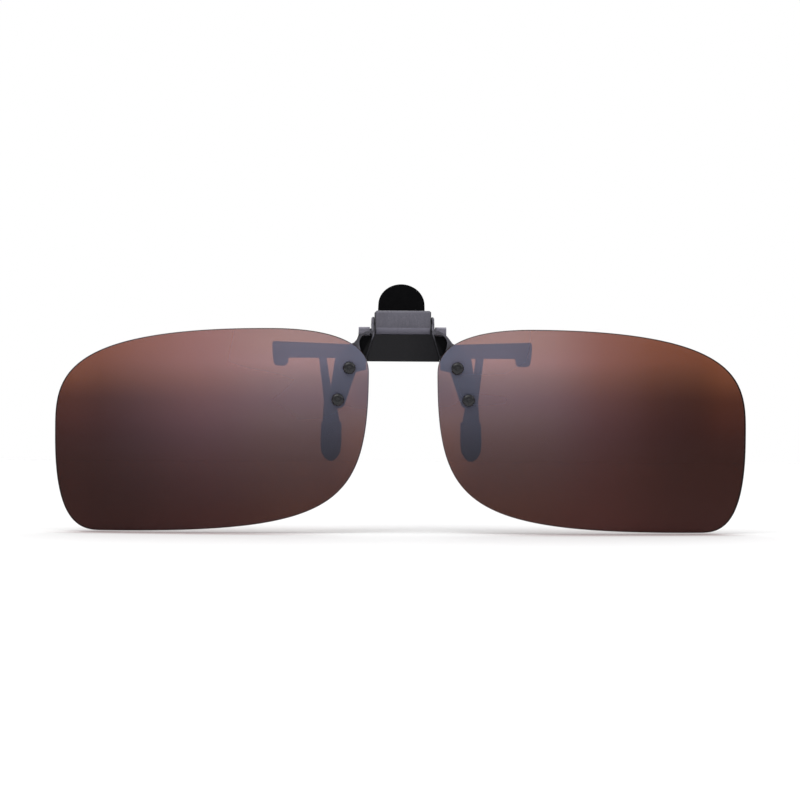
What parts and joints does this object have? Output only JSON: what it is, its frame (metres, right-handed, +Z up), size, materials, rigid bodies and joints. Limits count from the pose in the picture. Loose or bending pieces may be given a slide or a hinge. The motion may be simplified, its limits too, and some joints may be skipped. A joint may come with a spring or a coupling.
{
  "type": "clip on sunglasses",
  "caption": "Rimless flip-up clip-on sunglasses: tinted lenses on a hinged bridge, with a spring jaw of front hooks and rear legs that grips a pair of spectacles.",
  "frame": {"origin": "midway between the front hooks' pads and the rear sleeves, on the centre plane, level with the bridge bar's lower edge", "axes": "+X to the right in front view, +Y from the lenses towards the wearer, +Z up"},
  "size_m": [0.133, 0.0179, 0.0478],
  "materials": {
    "grey_plastic": "fine-grained moulded nylon, dark grey",
    "black_plastic": "satin black moulded nylon",
    "black_rubber": "soft matte black rubber",
    "grey_rubber": "soft grey rubber",
    "brown_lens": "polished brown tinted polymer, see-through",
    "rivet_black": "black domed rivet, soft gloss",
    "steel": "bright spring steel"
  },
  "bodies": {
    "front_clip": {"front_housing": "grey_plastic", "claw_plate": "grey_plastic", "hinge_frame": "grey_plastic", "hook_pad_left": "grey_rubber", "hook_pad_right": "grey_rubber", "frame_rivet_left": "steel", "frame_rivet_right": "steel", "jaw_pin": "steel", "jaw_spring": "steel", "detent_spring": "steel"},
    "lens_carrier": {"flip_bridge": "black_plastic", "lens_bracket_left": "grey_plastic", "lens_bracket_right": "grey_plastic", "lens_left": "brown_lens", "lens_right": "brown_lens", "rivet_upper_left": "rivet_black", "rivet_lower_left": "rivet_black", "rivet_upper_right": "rivet_black", "rivet_lower_right": "rivet_black", "flip_axle": "steel", "flip_cam": "steel"},
    "rear_jaw": {"jaw_lever": "grey_plastic", "thumb_pad": "black_rubber", "rear_leg_left": "grey_plastic", "rear_leg_right": "grey_plastic", "leg_sleeve_left": "grey_rubber", "leg_sleeve_right": "grey_rubber"}
  },
  "joints": [
    {"name": "flip_hinge", "type": "hinge", "parent": "front_clip", "child": "lens_carrier", "pos_m": [0, -0.0046, 0.0072], "axis": [-1, 0, 0], "range_deg": [0, 90], "deforming": ["detent_spring"]},
    {"name": "jaw_hinge", "type": "hinge", "parent": "front_clip", "child": "rear_jaw", "pos_m": [0, 0.0017, 0.00535], "axis": [1, 0, 0], "range_deg": [0, 20], "stiffness_Nm_per_rad": 0.07, "springref_deg": -16.04, "deforming": ["jaw_spring"]}
  ]
}
